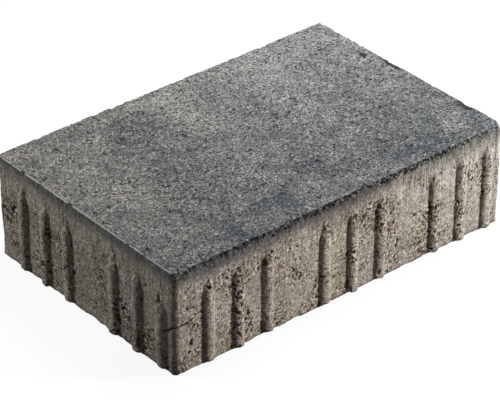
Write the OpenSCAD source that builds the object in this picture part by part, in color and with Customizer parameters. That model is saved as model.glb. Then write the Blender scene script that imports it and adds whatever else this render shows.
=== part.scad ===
// Rectangular concrete paving stone with rows of upright spacer ribs on its four sides.
// The stone lies on its bed at z = 0, centred on the origin, with its walking face up.

/* [Body] */
// Length between the plain end faces
body_length = 292; // [190:1:392]
// Width between the plain side faces
body_width = 192; // [92:1:292]
// Height from the bed to the walking face
body_height = 80; // [50:1:140]
// Radius of the four upright corners
corner_radius = 3; // [1:0.5:6]
// Bevel around the walking face, along the face and down the side
face_bevel = 1; // [0.5:0.25:3]

/* [Laying grid] */
// Grid step that carries one group of ribs
grid_step = 100; // [90:1:120]
// Sand joint between the bodies of two neighbouring stones
joint_width = 8; // [5:0.5:12]

/* [Spacer ribs] */
// Number of ribs in a group
ribs_per_group = 3; // [1:1:3]
// Distance between neighbouring ribs of a group
rib_pitch = 25; // [20:1:28]
// Width of a rib where it leaves the side
rib_width = 10; // [9:0.5:12]
// How far the crest of a rib stands out of the side
rib_stand = 3.5; // [2:0.25:4.25]
// Shift of each row to the right, seen from outside, so that the ribs of facing stones stand side by side
rib_shift = 7.5; // [0:0.5:8]
// Plain height left between the walking face and the tips of the ribs
plain_band = 15; // [8:1:22]
// Height over which the tip of a rib tapers out of the side
tip_taper = 10; // [5:1:15]

/* [Hidden] */
$fn = 96;

// The bead's round section passes through the two foot lines and the crest
rib_radius = (pow(rib_width / 2, 2) + pow(rib_stand, 2)) / (2 * rib_stand);
// Depth of the bead's axis behind the side
rib_axis_depth = rib_radius - rib_stand;
// Share of that depth left as the radius of the tip, which so ends a little behind the side
tip_share = 0.85;
tip_radius = tip_share * rib_axis_depth;
rib_height = body_height - plain_band;
concrete_grey = [0.5, 0.48, 0.45];

// Number of whole grid steps that a side spans, joint included
function groups_on(side) = floor((side + joint_width) / grid_step);

// Place of item i in an even row of n items about zero
function row_place(i, n, step) = (i - (n - 1) / 2) * step;

// Plan of the body with round corners
module body_plan() {
    core_length = body_length - 2 * corner_radius;
    core_width = body_width - 2 * corner_radius;
    square([core_length, body_width], center = true);
    square([body_length, core_width], center = true);
    for (x = [-1, 1], y = [-1, 1])
        translate([x * core_length / 2, y * core_width / 2])
            circle(r = corner_radius);
}

// Upright section of a body of the given width, bevelled beside the walking face
module bevelled_section(width) {
    half = width / 2;
    polygon([
        [-half, 0],
        [half, 0],
        [half, body_height - face_bevel],
        [half - face_bevel, body_height],
        [face_bevel - half, body_height],
        [-half, body_height - face_bevel]
    ]);
}

// Bevelled section drawn out along Y, long enough to cross the whole body
module bevelled_bar(width, reach) {
    translate([0, reach, 0])
        rotate([90, 0, 0])
            linear_extrude(2 * reach)
                bevelled_section(width);
}

module body() {
    intersection() {
        linear_extrude(body_height) body_plan();
        bevelled_bar(body_length, body_width);
        rotate(90) bevelled_bar(body_width, body_length);
    }
}

// One rib: a round bead on the bed whose tip tapers back into the side
module rib() {
    rotate_extrude()
        polygon([
            [0, 0],
            [rib_radius, 0],
            [rib_radius, rib_height - tip_taper],
            [tip_radius, rib_height],
            [0, rib_height]
        ]);
}

// Ribs of one side, along X
module rib_row(side) {
    groups = groups_on(side);
    for (group = [0 : 1 : groups - 1], place = [0 : 1 : ribs_per_group - 1])
        translate([
            rib_shift + row_place(group, groups, grid_step) + row_place(place, ribs_per_group, rib_pitch),
            rib_axis_depth,
            0
        ])
            rib();
}

module paving_stone() {
    color(concrete_grey)
        union() {
            body();
            for (turn = [0 : 3]) {
                side = turn % 2 == 0 ? body_length : body_width;
                across = turn % 2 == 0 ? body_width : body_length;
                rotate(90 * turn)
                    translate([0, -across / 2, 0])
                        rib_row(side);
            }
        }
}

paving_stone();
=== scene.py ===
# Concrete paving stone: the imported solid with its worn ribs, pores and crumbled edges, and its finish
import itertools
import math

import bpy
import bmesh
import numpy as np
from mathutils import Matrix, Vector, kdtree


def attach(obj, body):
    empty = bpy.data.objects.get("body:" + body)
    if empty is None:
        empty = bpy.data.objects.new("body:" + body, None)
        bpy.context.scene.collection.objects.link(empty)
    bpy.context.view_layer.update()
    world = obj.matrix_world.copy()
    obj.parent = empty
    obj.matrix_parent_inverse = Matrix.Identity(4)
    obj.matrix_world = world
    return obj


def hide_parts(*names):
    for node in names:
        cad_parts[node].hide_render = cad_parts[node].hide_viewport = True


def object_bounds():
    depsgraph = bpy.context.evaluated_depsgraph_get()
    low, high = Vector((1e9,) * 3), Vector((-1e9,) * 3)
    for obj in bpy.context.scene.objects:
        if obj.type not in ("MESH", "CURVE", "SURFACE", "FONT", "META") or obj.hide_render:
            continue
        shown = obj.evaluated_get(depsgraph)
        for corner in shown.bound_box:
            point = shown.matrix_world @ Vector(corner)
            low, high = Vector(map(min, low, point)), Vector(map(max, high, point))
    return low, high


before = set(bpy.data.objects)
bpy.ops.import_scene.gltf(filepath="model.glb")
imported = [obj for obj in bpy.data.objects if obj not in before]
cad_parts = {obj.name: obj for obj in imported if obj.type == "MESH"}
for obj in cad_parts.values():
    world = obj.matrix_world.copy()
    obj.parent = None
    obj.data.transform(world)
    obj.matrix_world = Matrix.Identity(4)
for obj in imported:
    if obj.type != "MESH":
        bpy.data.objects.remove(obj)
cad_low, cad_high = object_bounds()

# Sizes of the stone in millimetres, as in its source
HALF_LENGTH = 146.0
HALF_WIDTH = 96.0
HEIGHT = 80.0
RIB_STAND = 3.5
RIB_HALF_WIDTH = 5.0
RIB_SHIFT = 7.5
LONG_ROW = [RIB_SHIFT + step for step in (-125, -100, -75, -25, 0, 25, 75, 100, 125)]
SHORT_ROW = [RIB_SHIFT + step for step in (-75, -50, -25, 25, 50, 75)]
# A millimetre in metres, and a metre in millimetres
MM = 0.001
METRE = 1000.0

# The four sides in turn, each with its outward direction and its direction to the right seen from outside
FRONT, RIGHT, BACK, LEFT = range(4)
OUTWARD = np.array([[0, -1, 0], [1, 0, 0], [0, 1, 0], [-1, 0, 0]], float)
RIGHTWARD = np.array([[1, 0, 0], [0, 1, 0], [-1, 0, 0], [0, -1, 0]], float)
SIDE_REACH = np.array([HALF_WIDTH, HALF_LENGTH, HALF_WIDTH, HALF_LENGTH])
RIB_ROWS = {FRONT: LONG_ROW, RIGHT: SHORT_ROW, BACK: LONG_ROW, LEFT: SHORT_ROW}

# Round section of a rib, which passes through its two foot lines and its crest
RIB_RADIUS = (RIB_HALF_WIDTH ** 2 + RIB_STAND ** 2) / (2 * RIB_STAND)
RIB_AXIS_DEPTH = RIB_RADIUS - RIB_STAND
# Radius left at the tip of a rib, which so ends a little behind the side, and the tip's usual height
TIP_SHARE = 0.85
TIP_RADIUS = TIP_SHARE * RIB_AXIS_DEPTH
TIP_HEIGHT = 63.0

# Fineness of the cast surface, and the seed of its random wear
CASTING_GRAIN = 0.65 * MM
MOST_TRIANGLES = 194000
WEAR_SEED = 7


# Smooth step from 0 at low to 1 at high
def ease(value, low, high):
    share = np.clip((value - low) / (high - low), 0, 1)
    return share * share * (3 - 2 * share)


# A steady random value from -1 to 1 for each whole-numbered cell
def cell_values(cells, seed):
    mixed = cells[:, 0] * 73856093 ^ cells[:, 1] * 19349663 ^ cells[:, 2] * 83492791 ^ seed * 2654435761
    mixed &= 0xFFFFFFFF
    for _ in range(2):
        mixed = ((mixed >> 16) ^ mixed) * 0x45D9F3B & 0xFFFFFFFF
    mixed = (mixed >> 16) ^ mixed
    return mixed / 0x7FFFFFFF - 1


# The lumps lie askew to the stone, so that their cells don't show along its edges
LUMP_TURN = np.array([[0.36, 0.48, -0.8], [-0.8, 0.6, 0.0], [0.48, 0.64, 0.6]])


# Seeded lumps of about the given size, from -1 to 1
def lumps(points, size, seed):
    scaled = points @ LUMP_TURN.T / size
    cells = np.floor(scaled).astype(np.int64)
    part = scaled - cells
    part = part * part * part * (part * (part * 6 - 15) + 10)
    total = np.zeros(len(points))
    for corner in itertools.product((0, 1), repeat=3):
        weight = np.prod(np.where(corner, part, 1 - part), axis=1)
        total += weight * cell_values(cells + np.array(corner), seed)
    return total


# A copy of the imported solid, merged into one closed shell
def merged_copy(node, name):
    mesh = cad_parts[node].data.copy()
    mesh.name = name
    shell = bmesh.new()
    shell.from_mesh(mesh)
    bmesh.ops.remove_doubles(shell, verts=shell.verts, dist=0.001 * MM)
    shell.to_mesh(mesh)
    shell.free()
    mesh.materials.clear()
    piece = bpy.data.objects.new(name, mesh)
    bpy.context.scene.collection.objects.link(piece)
    return piece


# Makes the piece's modifiers part of its mesh
def settle(piece):
    graph = bpy.context.evaluated_depsgraph_get()
    graph.update()
    finished = bpy.data.meshes.new_from_object(piece.evaluated_get(graph))
    rough = piece.data
    piece.modifiers.clear()
    piece.data = finished
    finished.name = rough.name
    bpy.data.meshes.remove(rough)


# Points of a mesh in millimetres
def points_of(mesh):
    flat = np.empty(len(mesh.vertices) * 3, np.float32)
    mesh.vertices.foreach_get("co", flat)
    return flat.reshape(-1, 3).astype(float) / MM


# Moves the points of a mesh to these places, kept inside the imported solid's box
def put_points(mesh, points):
    low, high = (np.array(corner) / MM for corner in (cad_low, cad_high))
    kept = np.clip(points, low, high) * MM
    mesh.vertices.foreach_set("co", kept.astype(np.float32).ravel())
    mesh.update()


# The stone's surface points in millimetres, and where each lies on it
class Surface:
    def __init__(self, mesh):
        self.points = points_of(mesh)
        count = len(self.points)
        flat = np.empty(count * 3, np.float32)
        mesh.vertices.foreach_get("normal", flat)
        self.normals = flat.reshape(-1, 3).astype(float)
        self.cast = self.points.copy()
        # Nearest side of each point, how far the point stands out of it, and its place along it
        beyond = np.stack([self.points @ OUTWARD[side] - SIDE_REACH[side] for side in range(4)], 1)
        self.side = beyond.argmax(1)
        self.stand = beyond.max(1)
        self.along = (self.points * RIGHTWARD[self.side]).sum(1)
        self.outward = OUTWARD[self.side]
        self.height = self.points[:, 2].copy()
        self.depth = HEIGHT - self.height
        # Shares from 0 to 1: how much a point belongs to an upright side, and how much to the walking face
        self.wall = 1 - ease(np.abs(self.normals[:, 2]), 0.75, 0.95)
        self.wall[self.stand < -2] = 0
        self.upward = ease(self.normals[:, 2], 0.8, 0.97) * ease(self.depth, 2, 0.5)
        self.long_side = (self.side == FRONT) | (self.side == BACK)
        self.hollow = np.zeros(count)
        self.chipped = np.zeros(count)

    # Moves points along their own normals, outwards where amount is positive
    def swell(self, amount):
        self.points += self.normals * amount[:, None]

    # Opens the surface by a depth in millimetres times a share from 0 to 1
    def sink(self, depth, share):
        self.swell(-depth * share)
        self.hollow = np.maximum(self.hollow, share)

    def lumps(self, size, seed):
        return lumps(self.cast, size, seed)


# Ribs in view, from left to right: (height of the tip, height over which it tapers) in millimetres
SEEN_TIPS = {
    FRONT: [(65, 8), (64, 8), (68, 10), (69, 15), (66, 8), (72, 17), (68, 10), (70, 9), (70, 8)],
    LEFT: [(70, 14), (68, 12), (68, 14), (68, 15), (65, 12), (56, 8)],
}
# How many times more the ribs of the left end are frayed
LEFT_FRAY = 1.3
# Most of a rib that wear takes away
MOST_WEAR = 0.9
# How far beside its foot lines the side is shaped with a rib, in millimetres
RIB_MARGIN = 0.4


# Ribs wear a little, and their tips taper out at different heights
def worn_ribs(stone, chance):
    wear = 0.02 + 0.12 * stone.lumps(19, 21) + 0.1 * stone.lumps(6, 22)
    broken = 0.5 * stone.lumps(5.5, 23) + 0.4 * stone.lumps(2.6, 25)
    for side, row in RIB_ROWS.items():
        fray = LEFT_FRAY if side == LEFT else 1.0
        tips = SEEN_TIPS.get(side)
        if tips is None:
            tips = [(TIP_HEIGHT + chance.uniform(-1, 5), chance.uniform(7, 13)) for _ in row]
        for place, (tip, taper) in zip(row, tips):
            near = (stone.side == side) & (stone.wall > 0)
            near &= np.abs(stone.along - place) < RIB_HALF_WIDTH + RIB_MARGIN
            across, height = stone.along[near] - place, stone.height[near]
            radius = np.interp(height, [tip - taper, tip], [RIB_RADIUS, TIP_RADIUS])
            bead = np.sqrt(np.clip(radius ** 2 - across ** 2, 0, None)) - RIB_AXIS_DEPTH
            lost = fray * (wear[near] + broken[near] * ease(height, tip - taper - 6, tip - 3))
            bead = np.clip(bead, 0, None) * (1 - np.clip(lost, 0, MOST_WEAR))
            change = (bead - np.clip(stone.stand[near], 0, None)) * stone.wall[near]
            stone.points[near] += stone.outward[near] * change[:, None]


# Radius of the rubbed upright corners in millimetres, and what the near one has on top of it
CORNER_RADIUS = 3.4
NEAR_CORNER_EXTRA = 1.9
# Signs of x and y at the near corner, between the left end and the front side
NEAR_CORNER = (-1, -1)


# The upright corners are rubbed round, the near one most
def rubbed_corners(stone):
    usual = CORNER_RADIUS + 0.8 * stone.lumps(12, 24)
    for x, y in itertools.product((-1, 1), repeat=2):
        radius = usual + NEAR_CORNER_EXTRA if (x, y) == NEAR_CORNER else usual
        inside = np.stack([HALF_LENGTH - x * stone.points[:, 0], HALF_WIDTH - y * stone.points[:, 1]], 1)
        offset = np.clip(radius[:, None] - inside, 0, None)
        reach = np.hypot(*offset.T)
        outside = (offset.min(1) > 0) & (reach > radius)
        pull = np.where(outside, 1 - radius / np.maximum(reach, 0.01), 0)
        stone.points[:, :2] -= offset * pull[:, None] * (x, y)


# Pressed sides are never quite flat: long waves, then lumps of gravel under the skin
def uneven_sides(stone):
    rough = 0.3 + 0.7 * ease(stone.depth, 8, 26)
    waves = 0.3 * stone.lumps(48, 11) + 0.22 * stone.lumps(17, 12)
    gravel = 0.16 * stone.lumps(6, 13) + 0.14 * stone.lumps(2.7, 14)
    stone.swell(stone.wall * (waves + rough * gravel))


# Larger pores in view: (side, along, height, radius, depth) in millimetres
SEEN_PORES = [
    (FRONT, -132.5, 20.5, 1.7, 1.8),
    (FRONT, -131.8, 23.0, 1.0, 1.0),
    (FRONT, -136.0, 38.5, 1.2, 1.2),
    (FRONT, -135.5, 49.5, 1.0, 0.9),
    (FRONT, -91.0, 60.0, 1.5, 1.3),
    (FRONT, -88.5, 62.5, 1.1, 1.0),
    (FRONT, -119.0, 60.0, 1.1, 0.9),
    (FRONT, -114.0, 57.0, 1.2, 0.9),
    (FRONT, -64.0, 62.5, 1.1, 1.0),
    (FRONT, -42.0, 58.0, 1.1, 1.0),
    (FRONT, -45.0, 40.0, 1.4, 1.2),
    (FRONT, 7.5, 61.0, 1.4, 1.3),
    (FRONT, 10.5, 58.0, 1.2, 1.0),
    (FRONT, 35.5, 60.0, 1.5, 1.2),
    (FRONT, 48.0, 54.0, 1.2, 1.1),
    (FRONT, 49.0, 24.0, 1.5, 1.2),
    (FRONT, 64.0, 38.0, 1.2, 1.0),
    (FRONT, 30.0, 7.0, 1.4, 1.2),
    (FRONT, 43.0, 9.0, 1.2, 1.0),
    (LEFT, 81.0, 53.0, 2.2, 2.4),
    (LEFT, 79.5, 50.0, 1.4, 1.6),
    (LEFT, -38.0, 48.0, 1.5, 1.2),
    (LEFT, -12.0, 27.0, 1.5, 1.3),
    (LEFT, -78.0, 46.0, 1.8, 1.8),
    (LEFT, -80.0, 41.0, 2.0, 2.0),
    (LEFT, -85.0, 49.0, 1.4, 1.2),
    (LEFT, -87.0, 33.0, 1.6, 1.4),
    (LEFT, -91.0, 40.0, 1.3, 1.2),
    (LEFT, 62.0, 44.0, 1.3, 1.2),
    (LEFT, 67.0, 57.0, 1.0, 0.9),
]


# Close-textured places in view: (side, along, height, reach along, reach in height, share) in millimetres
CLOSED_PLACES = [
    (LEFT, 0, 40, 18, 200, 0.85),
    (FRONT, 58, 56, 18, 13, 0.85),
    (FRONT, 95, 56, 9, 15, 0.7),
    (FRONT, 122, 63, 20, 10, 0.75),
]
# How crumbly the back side and the right end are beside the other two
FAR_SIDES_SHARE = 0.7


# Where the sides are crumbly, from 0 to 1: in patches and round the tips of the ribs, less near the walking
# face, in the close-textured places and on the far sides
def crumbly_patches(stone):
    patches = ease(stone.lumps(15, 31) + 0.6 * stone.lumps(42, 32), -0.7, 0.7)
    for side, row in RIB_ROWS.items():
        for place in row:
            away = np.hypot(stone.along - place, (stone.height - TIP_HEIGHT) * 0.7)
            patches = np.maximum(patches, np.where(stone.side == side, 1 - ease(away, 1, 8), 0))
    kept = np.where(stone.long_side, ease(stone.depth, 9, 20), ease(stone.depth, 12, 40))
    kept = np.where((stone.side == BACK) | (stone.side == RIGHT), FAR_SIDES_SHARE * kept, kept)
    for side, along, height, wide, tall, share in CLOSED_PLACES:
        away = ((stone.along - along) / wide) ** 2 + ((stone.height - height) / tall) ** 2
        patches *= 1 - share * np.exp(-away) * (stone.side == side)
    return patches * kept


# Random pores: single ones per millimetre of half a side, how many at the tip of each rib, and their depth
# as a share of their radius
SINGLE_PORES = 0.35
TIP_PORES = 3
PORE_DEPTH = 0.8
# How far beyond a pore's radius its points are looked for in millimetres, as a rib stands out of the side
PORE_SEARCH = 4.5


# Open pores: small ones in the crumbly patches, larger ones singly and at the tips of the ribs
def open_pores(stone, crumbly, chance):
    field = stone.lumps(2.4, 33) + 0.6 * stone.lumps(1.5, 34)
    bar = 1.0 - 0.5 * crumbly
    stone.sink(0.8, ease(field, bar, bar + 0.3) * stone.wall)
    pores = list(SEEN_PORES)
    for side, row in RIB_ROWS.items():
        span = SIDE_REACH[(side + 1) % 4] - 5
        for _ in range(int(span * SINGLE_PORES)):
            radius = 0.5 + 0.5 * chance.random() ** 2
            along, height = chance.uniform(-span, span), chance.uniform(4, 60)
            pores.append((side, along, height, radius, PORE_DEPTH * radius))
        for place in row:
            for _ in range(TIP_PORES):
                radius = chance.uniform(0.5, 0.9)
                along, height = place + chance.normal(0, 2.5), TIP_HEIGHT - 2 + chance.normal(0, 3)
                pores.append((side, along, height, radius, PORE_DEPTH * radius))
    tree = kdtree.KDTree(len(stone.cast))
    for index, point in enumerate(stone.cast):
        tree.insert(point, index)
    tree.balance()
    ragged = stone.lumps(1.9, 35)
    for side, along, height, radius, depth in pores:
        foot = OUTWARD[side] * SIDE_REACH[side] + RIGHTWARD[side] * along
        middle = (foot[0], foot[1], height)
        found = [index for _, index, _ in tree.find_range(middle, radius + PORE_SEARCH)]
        if not found:
            continue
        found = np.array(found)
        away = np.hypot(stone.along[found] - along, (stone.height[found] - height) * 0.85) / radius
        bowl = ease(1.2 - away + 0.7 * ragged[found], 0, 0.7) * stone.wall[found]
        stone.points[found] -= stone.outward[found] * (depth * bowl)[:, None]
        stone.hollow[found] = np.maximum(stone.hollow[found], bowl)


# Course of the crack round the near upright corner: (along, height) in millimetres on each side
CORNER_CRACK = {
    LEFT: [(86.0, 31.8), (90.0, 34.0), (93.0, 36.8), (96.5, 37.6)],
    FRONT: [(-147.0, 37.6), (-143.0, 37.0), (-140.0, 38.2), (-134.5, 37.0)],
}


# Way from each spot to the nearest place on a course of straight runs
def way_to(course, spots):
    nearest = np.full(len(spots), 1e6)
    for start, end in zip(course, course[1:]):
        start, run = np.array(start), np.subtract(end, start)
        share = np.clip((spots - start) @ run / (run @ run), 0, 1)
        nearest = np.minimum(nearest, np.hypot(*(spots - start - share[:, None] * run).T))
    return nearest


# A short crack runs round the near upright corner
def corner_crack(stone):
    spots = np.stack([stone.along, stone.height], 1)
    waver = 0.4 * stone.lumps(2.0, 41)
    for side, course in CORNER_CRACK.items():
        here = (stone.side == side) * (stone.wall > 0.05)
        stone.sink(1.2, (1 - ease(way_to(course, spots) + waver, 0.25, 1.0)) * here)


# Cuts the edge of the bed or of the walking face back to a ragged bevel: depth is each point's way from
# that face, cut the size of the bevel, and direction 1 up from the bed or -1 down from the walking face
def ragged_edge(stone, depth, cut, direction):
    inside = -(stone.points @ OUTWARD.T - SIDE_REACH).max(1)
    short = np.clip(cut - depth - inside, 0, None) * (depth < cut + 1)
    stone.points -= stone.outward * (0.5 * short)[:, None]
    stone.points[:, 2] += direction * 0.5 * short


# The foot of the stone crumbles as it is pushed off its board
def crumbled_foot(stone):
    crumbs = 0.5 + 1.0 * stone.lumps(10, 51) + 0.7 * stone.lumps(3.2, 52) + 0.6 * stone.lumps(26, 53)
    ragged_edge(stone, stone.height, np.clip(crumbs, 0.1, 2.6), 1)
    rib = np.clip(stone.stand, 0, RIB_STAND) / RIB_STAND
    foot = (1 - ease(stone.height, 0, 5)) * rib * stone.wall
    lost = np.clip(0.2 + 0.7 * stone.lumps(9, 54), 0, 1.0)
    stone.points -= stone.outward * (foot * lost)[:, None]


# The edge of the walking face is nibbled along the sides, wavy at the right end and crisp at the left end
def nibbled_arris(stone):
    teeth = 0.9 * stone.lumps(3.2, 61) + 0.7 * stone.lumps(1.8, 63)
    bites = 1.2 + teeth + 0.5 * stone.lumps(9, 62)
    wavy = 1.2 + 1.0 * stone.lumps(13, 64) + 0.8 * teeth
    crisp = 0.6 + 0.3 * stone.lumps(9, 65) + 0.15 * teeth
    cut = np.select([stone.long_side, stone.side == RIGHT], [bites, wavy], crisp)
    ragged_edge(stone, stone.depth, np.clip(cut, 0.1, 2.8), -1)
    crust_and_shade = ease(stone.lumps(2.2, 66) + 0.6 * stone.lumps(5, 67), -0.2, 0.3)
    crust_and_shade *= ease(stone.depth, 0.6, 1.4) * ease(stone.depth, 6.0, 3.5)
    stone.swell(-1.0 * crust_and_shade * stone.long_side * stone.wall)


# Chips in view at the edge of the walking face: (x, y, reach in x, reach in y, depth) in millimetres
SEEN_CHIPS = [
    (146, -62, 8.0, 10.0, 2.0),
    (146, 14, 6.0, 14.0, 1.5),
    (137, 38, 2.5, 5.0, 0.7),
]
# How far below the walking face a chip can cut the edge, in millimetres
CHIP_REACH = 6
# Size of the corner broken off between the front side, the right end and the walking face, and the way that
# its points are pushed in
BROKEN_CORNER = 6.5
CORNER_PUSH = np.array([-0.37, 0.37, -0.37])


# Chips slope gently from the walking face down to the edge, and one corner is broken off
def edge_chips(stone):
    x, y, z = stone.points.T
    ragged = 0.25 * stone.lumps(4, 55) + 0.15 * stone.lumps(2, 56)
    for across, deep, wide, long, depth in SEEN_CHIPS:
        away = np.hypot((x - across) / wide, (y - deep) / long) + ragged
        bottom = HEIGHT - depth * np.clip(1 - away, 0, 1)
        stone.points[:, 2] = np.where(z > HEIGHT - CHIP_REACH, np.minimum(z, bottom), z)
        # Share of each point inside a chip, where the finish paints shade
        stone.chipped = np.maximum(stone.chipped, ease(1 - away, 0, 0.2) * ease(stone.depth, 4.5, 2.5))
    inside = (HALF_LENGTH - x) + (HALF_WIDTH + y) + 0.7 * (HEIGHT - z)
    short = np.clip(BROKEN_CORNER + 3 * ragged - inside, 0, None)
    stone.points += short[:, None] * CORNER_PUSH


# The walking face is close-grained and a little uneven, with small pits
def grained_face(stone):
    relief = 0.14 * stone.lumps(3.1, 71) + 0.12 * stone.lumps(55, 73)
    stone.points[:, 2] += stone.upward * (relief - 0.25)
    pits = ease(stone.lumps(2.3, 74) + 0.5 * stone.lumps(6, 75), 0.75, 1.05)
    stone.sink(0.4, pits * stone.upward)


# Clouds in the face mix: (x, y, reach in x, reach in y, tone) in millimetres, with a tone above zero lighter
FACE_CLOUDS = [
    (-14, 47, 14, 24, 1.4),
    (-15, 78, 16, 18, 0.8),
    (62, 30, 20, 52, 1.0),
    (80, 84, 75, 22, 1.0),
    (115, 62, 42, 40, 0.85),
    (135, 10, 22, 45, 0.7),
    (126, -74, 14, 20, 0.9),
    (-120, 5, 18, 48, 0.3),
    (-12, -72, 11, 24, 0.7),
    (-48, -88, 12, 12, 0.5),
    (-62, 60, 26, 26, -1.3),
    (-62, -5, 26, 30, -0.8),
    (-86, -70, 20, 22, -0.9),
    (-35, -76, 13, 24, -0.9),
    (-140, -72, 14, 20, -0.6),
    (-120, 50, 18, 30, -0.3),
    (6, -58, 12, 18, -0.7),
    (76, -74, 40, 20, -0.65),
    (92, -8, 20, 34, -0.35),
    (34, 10, 10, 30, -0.35),
]
# Pale scratches in the walking face, near its right front corner: courses of (x, y) in millimetres
FACE_SCRATCHES = [
    [(125.0, -67.0), (121.5, -73.0), (124.0, -79.0), (123.5, -84.5)],
    [(118.0, -73.5), (120.0, -79.0), (123.5, -84.5)],
]


# Tone of the face mix at each point, from 0 dark to 1 light, with a painted sheen that lightens it towards
# the back
def face_clouds_and_sheen(stone):
    bend = np.stack([stone.lumps(26, seed) for seed in (81, 82)], 1) * 9
    x, y = (stone.cast[:, :2] + bend).T
    tone = np.zeros(len(x))
    for across, deep, wide, long, strength in FACE_CLOUDS:
        tone += strength * np.exp(-((x - across) / wide) ** 2 - ((y - deep) / long) ** 2)
    # Random lumps of tone, and a steady rise towards the back which is painted sheen
    tone += 0.3 * stone.lumps(30, 83) + 0.3 * stone.lumps(13, 84) + 0.6 * y / HALF_WIDTH
    for course in FACE_SCRATCHES:
        away = way_to(course, stone.cast[:, :2]) + 0.4 * stone.lumps(3, 85)
        tone += 2.2 * (1 - ease(away, 0.5, 1.6))
    return np.clip(0.42 + 0.27 * tone, 0, 1)


# Keeps a value per point on the mesh, for the finish to read
def mark(mesh, name, values):
    layer = mesh.attributes.new(name, "FLOAT", "POINT")
    layer.data.foreach_set("value", values.astype(np.float32))


# Sheet that the faces are laid out on: the gap between them and its width in millimetres
SHEET_GAP = 4.0
SHEET_WIDTH = 466.0
# The bed is laid out smaller, as it is plain
BED_SCALE = 0.5
# Numbers of the two level faces, after those of the four sides
TOP, BED = 4, 5


# Spreads the six faces of the stone out on one sheet, so that its finish can be laid on flat
def lay_out_faces(mesh):
    points = points_of(mesh)
    corners = np.empty(len(mesh.loops), np.int32)
    mesh.loops.foreach_get("vertex_index", corners)
    owner = np.repeat(np.arange(len(mesh.polygons)), [face.loop_total for face in mesh.polygons])
    centre = np.zeros((len(mesh.polygons), 3))
    np.add.at(centre, owner, points[corners])
    centre /= np.bincount(owner)[:, None]
    inside = SIDE_REACH - centre @ OUTWARD.T
    down, up = HEIGHT - centre[:, 2], centre[:, 2]
    island = inside.argmin(1)
    island[down < np.minimum(inside.min(1), up)] = TOP
    island[up < np.minimum(inside.min(1), down)] = BED
    island = island[owner]
    x, y, z = points[corners].T
    half = HALF_LENGTH + RIB_STAND + SHEET_GAP
    deep = HALF_WIDTH + RIB_STAND + SHEET_GAP
    tall = HEIGHT + SHEET_GAP
    base = 2 * deep
    spread = {
        TOP: (x + half, y + deep),
        BED: ((x + half) * BED_SCALE + 2 * half, (y + deep) * BED_SCALE),
        FRONT: (x + half, z + base),
        BACK: (half - x, z + base + tall),
        RIGHT: (z + 2 * half, y + deep + base),
        LEFT: (z + 2 * half + tall, deep - y + base),
    }
    sheet = np.empty((len(corners), 2))
    for face, (across, upwards) in spread.items():
        here = island == face
        sheet[here] = np.stack([across[here], upwards[here]], 1)
    layer = mesh.uv_layers.new(name="OFBake")
    layer.data.foreach_set("uv", (sheet / SHEET_WIDTH).astype(np.float32).ravel())


# The cast stone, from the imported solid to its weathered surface
def cast_stone():
    piece = merged_copy("paving_stone", "cast_stone")
    casting = piece.modifiers.new("casting", "REMESH")
    casting.mode = "VOXEL"
    casting.voxel_size = CASTING_GRAIN
    settle(piece)
    stone = Surface(piece.data)
    chance = np.random.default_rng(WEAR_SEED)
    crumbly = crumbly_patches(stone)
    worn_ribs(stone, chance)
    rubbed_corners(stone)
    uneven_sides(stone)
    open_pores(stone, crumbly, chance)
    corner_crack(stone)
    crumbled_foot(stone)
    nibbled_arris(stone)
    grained_face(stone)
    edge_chips(stone)
    put_points(piece.data, stone.points)
    marks = {
        "hollow": np.clip(stone.hollow, 0, 1),
        "crumbly": crumbly,
        "chipped": stone.chipped,
        "walk": stone.upward,
        "wall": stone.wall,
        "cloud_and_sheen": face_clouds_and_sheen(stone),
        "crest": ease(stone.stand, 0.8, 3.0) * stone.wall,
        "nibbled": stone.long_side.astype(float),
    }
    for name, values in marks.items():
        mark(piece.data, name, values)
    thinning = piece.modifiers.new("thinning", "DECIMATE")
    thinning.ratio = min(1, MOST_TRIANGLES / (2 * len(piece.data.polygons)))
    settle(piece)
    # Thinning can push a point past the box
    put_points(piece.data, points_of(piece.data))
    for face in piece.data.polygons:
        face.use_smooth = True
    lay_out_faces(piece.data)
    return piece


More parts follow.
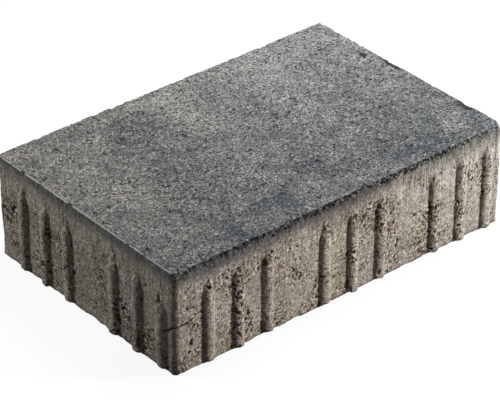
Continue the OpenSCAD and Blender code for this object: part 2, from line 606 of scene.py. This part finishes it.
# Puts the nodes of one finish together
class Finish:
    def __init__(self, name):
        self.material = bpy.data.materials.new(name)
        self.material.use_nodes = True
        self.tree = self.material.node_tree
        self.tree.nodes.clear()
        self.place = self.add("ShaderNodeTexCoord").outputs["Object"]

    # A new node, with each input set to a number or joined to another node's output
    def add(self, kind, inputs=None, **settings):
        made = self.tree.nodes.new(kind)
        for name, value in settings.items():
            setattr(made, name, value)
        for key, value in (inputs or {}).items():
            if isinstance(value, bpy.types.NodeSocket):
                self.tree.links.new(value, made.inputs[key])
            else:
                made.inputs[key].default_value = value
        return made

    # Value kept on the mesh under this name
    def marked(self, name):
        return self.add("ShaderNodeAttribute", attribute_name=name).outputs["Fac"]

    # Coordinates moved, and stretched along each axis
    def moved(self, shift=(0, 0, 0), scale=(1, 1, 1)):
        inputs = {"Vector": self.place, "Location": shift, "Scale": scale}
        return self.add("ShaderNodeMapping", inputs).outputs["Vector"]

    # Noise with lumps of the given size in millimetres
    def noise(self, size, detail=2.0, rough=0.5, place=None):
        inputs = {"Vector": place or self.place, "Scale": METRE / size}
        inputs.update({"Detail": detail, "Roughness": rough})
        return self.add("ShaderNodeTexNoise", inputs).outputs[0]

    # One random tone for each grain of the given size in millimetres
    def grains(self, size, place=None):
        made = self.add("ShaderNodeTexVoronoi", {"Vector": place or self.place, "Scale": METRE / size})
        split = self.add("ShaderNodeSeparateColor", {"Color": made.outputs["Color"]})
        return split.outputs["Red"]

    # Takes a value from one range to another, with soft ends if wanted
    def span(self, value, low, high, start=0.0, end=1.0, soft=False):
        kind = "SMOOTHSTEP" if soft else "LINEAR"
        inputs = {"Value": value, "From Min": low, "From Max": high, "To Min": start, "To Max": end}
        return self.add("ShaderNodeMapRange", inputs, interpolation_type=kind).outputs["Result"]

    def maths(self, operation, first, second=0.0, third=0.0):
        made = self.add("ShaderNodeMath", {0: first, 1: second, 2: third}, operation=operation)
        return made.outputs[0]

    def times(self, *factors):
        product = factors[0]
        for factor in factors[1:]:
            product = self.maths("MULTIPLY", product, factor)
        return product

    # Mixes two colours. The sockets go by their numbers here and in mix, because several share a name
    def blend(self, share, first, second):
        made = self.add("ShaderNodeMix", {0: share, 6: first, 7: second}, data_type="RGBA")
        return made.outputs[2]

    # Mixes two numbers
    def mix(self, share, first, second):
        return self.add("ShaderNodeMix", {0: share, 2: first, 3: second}, data_type="FLOAT").outputs[0]

    # Colour made lighter or darker by a factor
    def shade(self, colour, factor):
        if not isinstance(colour, bpy.types.NodeSocket):
            colour = colour[:3]
        made = self.add("ShaderNodeVectorMath", {0: colour, "Scale": factor}, operation="SCALE")
        return made.outputs["Vector"]


# Height in metres of a level this many millimetres below the walking face
def below(depth):
    return (HEIGHT - depth) * MM


# Place on the X axis in metres, this many millimetres in from the left end
def from_left(way):
    return -(HALF_LENGTH - way) * MM


# Colours of the walking face, the backing concrete, and the crust, smears and painted highlight at the edge
# between them
DARK_MIX = (0.098, 0.105, 0.114, 1)
WARM_PALE_MIX = (0.350, 0.330, 0.292, 1)
COOL_PALE_MIX = (0.315, 0.322, 0.325, 1)
PALE_GRAIN = (0.520, 0.505, 0.470, 1)
BACKING = (0.290, 0.253, 0.214, 1)
COOL_BACKING = (0.288, 0.258, 0.226, 1)
END_BACKING = (0.289, 0.266, 0.229, 1)
BROWN_SAND = (0.140, 0.092, 0.054, 1)
PALE_SAND = (0.530, 0.490, 0.430, 1)
# Pore colour: the pores' own brown, darkened by painted shade
PORE_BROWN_AND_SHADE = (0.030, 0.021, 0.014, 1)
# Crust colour: the dark face layer, made near black by painted shade under the nibbled edge
CRUST_AND_SHADE = (0.012, 0.0123, 0.0126, 1)
BLUE_SMEAR = (0.092, 0.096, 0.098, 1)
GREY_SMEAR = (0.070, 0.069, 0.066, 1)
ARRIS_HIGHLIGHT = (0.620, 0.600, 0.565, 1)


# Walking face of dark granular mix: clouds with a painted sheen, then grains, and pits with painted shade.
# Gives its colour and its relief
def walking_face(finish, x, speck):
    blotch = finish.noise(11, 4, 0.6)
    tone = finish.maths("ADD", finish.marked("cloud_and_sheen"), finish.span(blotch, 0.25, 0.75, -0.3, 0.3))
    pale = finish.blend(finish.span(x, -HALF_LENGTH * MM, HALF_LENGTH * MM), WARM_PALE_MIX, COOL_PALE_MIX)
    colour = finish.blend(finish.span(tone, 0, 1), DARK_MIX, pale)
    lively = finish.span(finish.noise(17, 2, 0.5, finish.moved((0.4, 0.8, 0.1))), 0.35, 0.65, 0.55, 1.3)
    speckled = finish.maths("MULTIPLY_ADD", finish.span(speck, 0.36, 0.64, -0.64, 0.64), lively, 1.0)
    colour = finish.shade(colour, speckled)
    mosaic = finish.grains(1.25)
    colour = finish.shade(colour, finish.span(mosaic, 0, 1, 0.58, 1.42))
    pale_share = finish.span(blotch, 0.4, 0.6, 0.25, 0.7)
    colour = finish.blend(finish.times(finish.span(mosaic, 0.9, 0.95), pale_share), colour, PALE_GRAIN)
    # Pits painted darker: painted shade in the opened hollows and in pits too small for the mesh
    pit = finish.span(finish.noise(2.2, 2, 0.6), 0.37, 0.44, 0.25, 1.0)
    pit_shade = finish.span(finish.marked("hollow"), 0.2, 0.9, 1.0, 0.3)
    colour = finish.shade(colour, finish.times(pit, pit_shade))
    return colour, finish.maths("ADD", speck, finish.times(pit, 0.5))


# Backing concrete of the sides: sand of several tones, drag marks and pores, with painted shade in the pores
# and along the foot. Gives its colour and its relief
def backing_side(finish, x, height, drag, nibbled):
    crumbly = finish.marked("crumbly")
    upper = finish.span(height, below(45), below(14), soft=True)
    lower = finish.maths("SUBTRACT", 1.0, upper)
    closed = finish.span(crumbly, 0, 0.4, 0.3, 0)
    end_smooth = finish.maths("MAXIMUM", finish.times(upper, 0.25), closed)
    side_smooth = finish.maths("MAXIMUM", finish.times(upper, 0.1), finish.times(closed, lower))
    smooth = finish.mix(nibbled, end_smooth, side_smooth)
    grit = finish.noise(0.9, 3, 0.7, finish.moved((0.3, 0.1, 0.2)))
    broad = finish.span(finish.noise(22, 3), 0.3, 0.7, 0.82, 1.18)
    long_side = finish.blend(finish.span(x, 0, HALF_LENGTH * MM), BACKING, COOL_BACKING)
    end = finish.shade(END_BACKING, finish.span(crumbly, 0, 0.4, 0.92, 1.0))
    colour = finish.shade(finish.blend(nibbled, end, long_side), broad)
    sand = finish.grains(1.25)
    grainy = finish.times(finish.span(grit, 0.36, 0.64, 0.38, 1.62), finish.span(sand, 0, 1, 0.7, 1.3))
    colour = finish.shade(colour, finish.mix(smooth, grainy, 1.0))
    specks = finish.span(smooth, 0, 0.35, 0.85, 0.5)
    colour = finish.blend(finish.times(finish.span(sand, 0.86, 0.92), specks), colour, PALE_SAND)
    colour = finish.blend(finish.times(finish.span(sand, 0.16, 0.1), specks), colour, BROWN_SAND)
    colour = finish.shade(colour, finish.span(finish.marked("crest"), 0, 1, 1, 1.12))
    dragged = finish.maths("MULTIPLY_ADD", finish.span(drag, 0.3, 0.7, -0.5, 0.5), upper, 1.0)
    colour = finish.shade(colour, dragged)
    right_part = finish.span(x, 20 * MM, 60 * MM)
    pale_drag = finish.times(upper, right_part, finish.span(drag, 0.42, 0.62, 0, 0.5), nibbled)
    colour = finish.blend(pale_drag, colour, PALE_GRAIN)
    holes = finish.noise(2.1, 2, 0.6, finish.moved((0.7, 0.4, 0.9)))
    rim = finish.maths("ADD", holes, finish.span(crumbly, 0.15, 0.95, 0.035, -0.09))
    colour = finish.blend(finish.span(rim, 0.43, 0.36, 0, 0.75), colour, BROWN_SAND)
    fine_pore = finish.span(rim, 0.36, 0.32)
    # Pores painted dark: painted shade in the opened hollows and in pores too small for the mesh, over their
    # own brown
    pore_shade = finish.maths("MAXIMUM", finish.span(finish.marked("hollow"), 0.25, 0.8, 0, 0.9), fine_pore)
    colour = finish.blend(pore_shade, colour, PORE_BROWN_AND_SHADE)
    # Painted shade along the foot of the sides, halving the colour at the bottom edge; none where the
    # surface is not upright
    foot = finish.maths("ADD", height, finish.span(finish.noise(5, 3), 0.3, 0.7, -2.5 * MM, 2.5 * MM))
    foot_shade = finish.span(foot, 0, 3.5 * MM, 0.5, 1.0)
    colour = finish.shade(colour, finish.mix(finish.marked("wall"), 1.0, foot_shade))
    return colour, finish.maths("SUBTRACT", grit, finish.times(fine_pore, 1.2))


# Face mix at the top of the sides: a soft blue-grey band at the ends, a ragged dark crust along the sides
# whose near black is partly painted shade under the nibbled edge
def banded_side(finish, colour, x, height, drag, speck, nibbled):
    wander = finish.span(finish.noise(9, 3, 0.6), 0, 1, -6 * MM, 6 * MM)
    level = finish.maths("ADD", height, wander)
    streaked = finish.maths("ADD", level, finish.span(drag, 0, 1, -9 * MM, 9 * MM))
    streaks = finish.span(drag, 0.34, 0.66, 0.3, 1.7)
    grains = finish.span(speck, 0.36, 0.64, 0.3, 1.7)
    blue = finish.span(streaked, below(11.5), below(3.5), 0, 0.92, soft=True)
    ends = finish.blend(blue, colour, finish.shade(BLUE_SMEAR, finish.times(streaks, grains)))
    grey = finish.span(streaked, below(18), below(4), soft=True)
    grey = finish.times(grey, finish.span(x, 10 * MM, 55 * MM, 0.95, 0.6))
    sides = finish.blend(grey, colour, finish.shade(GREY_SMEAR, finish.times(streaks, grains)))
    ragged = finish.span(finish.noise(1.6, 3, 0.7), 0.3, 0.7, -2.8 * MM, 2.8 * MM)
    hairs = finish.span(drag, 0.3, 0.7, -1.6 * MM, 1.6 * MM)
    thick = finish.span(finish.noise(14, 2), 0.3, 0.7, 1.9 * MM, 6.6 * MM)
    rim = finish.maths("ADD", finish.maths("ADD", height, ragged), finish.maths("ADD", thick, hairs))
    # Ragged crust band, partly the dark face mix and partly painted shade under the edge
    crust_and_shade = finish.span(rim, below(0.3), below(-0.4), 0, 0.97)
    pebbles = finish.span(finish.grains(1.6, finish.moved((0.2, 0.5, 0.4))), 0.4, 1.0, 0.3, 13.0)
    sides = finish.blend(crust_and_shade, sides, finish.shade(CRUST_AND_SHADE, finish.times(pebbles, grains)))
    return finish.blend(nibbled, ends, sides)


# Thin pale line along the arris of the left end, a painted highlight where the edge catches light, with a
# painted shadow line behind it
def arris_highlight_and_shadow(finish, colour, x, height):
    whole = finish.span(finish.noise(9, 3), 0.34, 0.44)
    wander = finish.span(finish.noise(3, 2), 0.3, 0.7, -0.25 * MM, 0.25 * MM)
    across = finish.maths("SUBTRACT", finish.maths("ADD", x, wander), from_left(0.5))
    up = finish.maths("SUBTRACT", height, below(0.5))
    away = finish.maths("SQRT", finish.maths("ADD", finish.times(across, across), finish.times(up, up)))
    line = finish.span(away, 0.65 * MM, 0.4 * MM)
    behind = finish.times(
        finish.span(x, from_left(1.1), from_left(1.4), 1, 0),
        finish.span(x, from_left(2.6), from_left(1.8)),
        finish.span(height, below(1.2), below(0.8)),
    )
    # Painted shadow line just behind the edge
    colour = finish.shade(colour, finish.span(behind, 0, 1, 1, 0.55))
    # Painted highlight along the edge
    return finish.blend(finish.times(line, whole, 0.85), colour, ARRIS_HIGHLIGHT)


# Dark granular face mix on top, open-pored grey-beige backing on the sides
def concrete_finish():
    finish = Finish("pressed_concrete")
    split = finish.add("ShaderNodeSeparateXYZ", {0: finish.place})
    x, height = split.outputs["X"], split.outputs["Z"]
    walk, nibbled = finish.marked("walk"), finish.marked("nibbled")
    speck = finish.noise(1.0, 2, 0.65)
    drag = finish.noise(1.8, 2, 0.6, finish.moved(scale=(1, 1, 0.09)))
    face, face_relief = walking_face(finish, x, speck)
    side, side_relief = backing_side(finish, x, height, drag, nibbled)
    side = banded_side(finish, side, x, height, drag, speck, nibbled)
    colour = arris_highlight_and_shadow(finish, finish.blend(walk, side, face), x, height)
    # Chips are painted towards the near-black crust colour: painted shade in their hollows
    colour = finish.blend(finish.times(finish.marked("chipped"), 0.85), colour, CRUST_AND_SHADE)
    relief = finish.mix(walk, side_relief, face_relief)
    bump = finish.add("ShaderNodeBump", {"Height": relief, "Strength": 0.8, "Distance": 0.8 * MM})
    shader = finish.add(
        "ShaderNodeBsdfPrincipled",
        {
            "Base Color": colour,
            "Roughness": 0.92,
            "Specular IOR Level": 0.12,
            "Normal": bump.outputs["Normal"],
        },
    )
    finish.add("ShaderNodeOutputMaterial", {"Surface": shader.outputs[0]})
    return finish.material


stone = cast_stone()
stone.data.materials.append(concrete_finish())
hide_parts("paving_stone")
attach(stone, "root")


# Way from the stone towards a lamp or the camera: azimuth 0 is in front, 90 to the right
def towards(azimuth, elevation):
    turn, rise = math.radians(azimuth), math.radians(elevation)
    flat = math.cos(rise)
    return Vector((math.sin(turn) * flat, -math.cos(turn) * flat, math.sin(rise)))


def aim(thing, place, target):
    thing.location = place
    thing.rotation_euler = (Vector(target) - Vector(place)).to_track_quat("-Z", "Y").to_euler()


# Shows one shader to the camera, to reflections and through glass, and the other to all else
def white_to_camera(tree, white, other):
    path = tree.nodes.new("ShaderNodeLightPath")
    seen = path.outputs["Is Camera Ray"]
    for ray in ("Is Glossy Ray", "Is Transmission Ray"):
        both = tree.nodes.new("ShaderNodeMath")
        both.operation = "MAXIMUM"
        tree.links.new(seen, both.inputs[0])
        tree.links.new(path.outputs[ray], both.inputs[1])
        seen = both.outputs[0]
    mixed = tree.nodes.new("ShaderNodeMixShader")
    tree.links.new(seen, mixed.inputs[0])
    tree.links.new(other, mixed.inputs[1])
    tree.links.new(white, mixed.inputs[2])
    return mixed.outputs[0]


# Floor just below the bed. It shows white to the camera and still takes the stone's shadow: its glow is
# NEAR_GLOW within NEAR metres of the stone's middle, and grows to full white at FAR metres
NEAR_GLOW = 0.89
NEAR, FAR = 0.35, 1.0
FLOOR_PAINT = (0.15, 0.15, 0.15, 1)
FLOOR_REACH = 6
FLOOR_DROP = 0.3 * MM


def make_floor():
    plate = bmesh.new()
    bmesh.ops.create_grid(plate, x_segments=1, y_segments=1, size=FLOOR_REACH)
    mesh = bpy.data.meshes.new("floor")
    plate.to_mesh(mesh)
    plate.free()
    floor = bpy.data.objects.new("floor", mesh)
    floor.location.z = -FLOOR_DROP
    bpy.context.scene.collection.objects.link(floor)
    painted = Finish("pale_floor")
    paint = painted.add("ShaderNodeBsdfDiffuse", {"Color": FLOOR_PAINT}).outputs[0]
    away = painted.add("ShaderNodeVectorMath", {0: painted.place}, operation="LENGTH").outputs["Value"]
    bright = painted.span(away, NEAR, FAR, NEAR_GLOW, 1.0, soft=True)
    glow = painted.add("ShaderNodeEmission", {"Strength": bright}).outputs[0]
    lit = painted.add("ShaderNodeAddShader", {0: paint, 1: glow}).outputs[0]
    painted.add("ShaderNodeOutputMaterial", {"Surface": white_to_camera(painted.tree, lit, paint)})
    mesh.materials.append(painted.material)


# Dim light from all round, with a white backdrop
AMBIENT = (0.10, 0.10, 0.10, 1)
WHITE = (1, 1, 1, 1)


def make_backdrop():
    world = bpy.data.worlds.new("studio")
    bpy.context.scene.world = world
    world.use_nodes = True
    tree = world.node_tree
    tree.nodes.clear()
    dim = tree.nodes.new("ShaderNodeBackground")
    dim.inputs["Color"].default_value = AMBIENT
    white = tree.nodes.new("ShaderNodeBackground")
    white.inputs["Color"].default_value = WHITE
    out = tree.nodes.new("ShaderNodeOutputWorld")
    tree.links.new(white_to_camera(tree, white.outputs[0], dim.outputs[0]), out.inputs["Surface"])


# Soft lamps, in degrees and metres: (name, azimuth, elevation, distance, size, light on a facing surface)
LAMPS = [
    ("key_lamp", 43, 12, 1.0, 0.22, 1.42),
    ("back_lamp", -140, 20, 1.2, 0.35, 0.59),
    ("top_lamp", 105, 68, 0.7, 0.35, 0.60),
]
# The lamps point at the middle of the stone
LAMP_TARGET = Vector((0, 0, 0.04))


# A round lamp's light on a facing surface is its power / (pi * distance squared). Where that is pi, which
# counts as 1 in the list, a colour shows as it is written
def make_lamps():
    for name, azimuth, elevation, distance, size, light in LAMPS:
        lamp = bpy.data.lights.new(name, "AREA")
        lamp.shape = "DISK"
        lamp.size = size
        lamp.energy = light * math.pi * math.pi * distance * distance
        thing = bpy.data.objects.new(name, lamp)
        bpy.context.scene.collection.objects.link(thing)
        aim(thing, LAMP_TARGET + towards(azimuth, elevation) * distance, LAMP_TARGET)


# Camera at the photograph's viewing angle: degrees and metres, with its sensor and lens in millimetres
CAMERA_AZIMUTH, CAMERA_ELEVATION = -40.05, 32.42
CAMERA_DISTANCE = 1.832
CAMERA_TARGET = Vector((-0.0112, -0.0110, 0.040))
SENSOR_WIDTH = 36
FOCAL_LENGTH = 191.6


def make_camera():
    lens = bpy.data.cameras.new("camera")
    lens.sensor_fit = "HORIZONTAL"
    lens.sensor_width = SENSOR_WIDTH
    lens.lens = FOCAL_LENGTH
    camera = bpy.data.objects.new("camera", lens)
    bpy.context.scene.collection.objects.link(camera)
    place = CAMERA_TARGET + towards(CAMERA_AZIMUTH, CAMERA_ELEVATION) * CAMERA_DISTANCE
    aim(camera, place, CAMERA_TARGET)
    bpy.context.scene.camera = camera


make_floor()
make_backdrop()
make_lamps()
make_camera()
bpy.context.scene.view_settings.view_transform = "Standard"
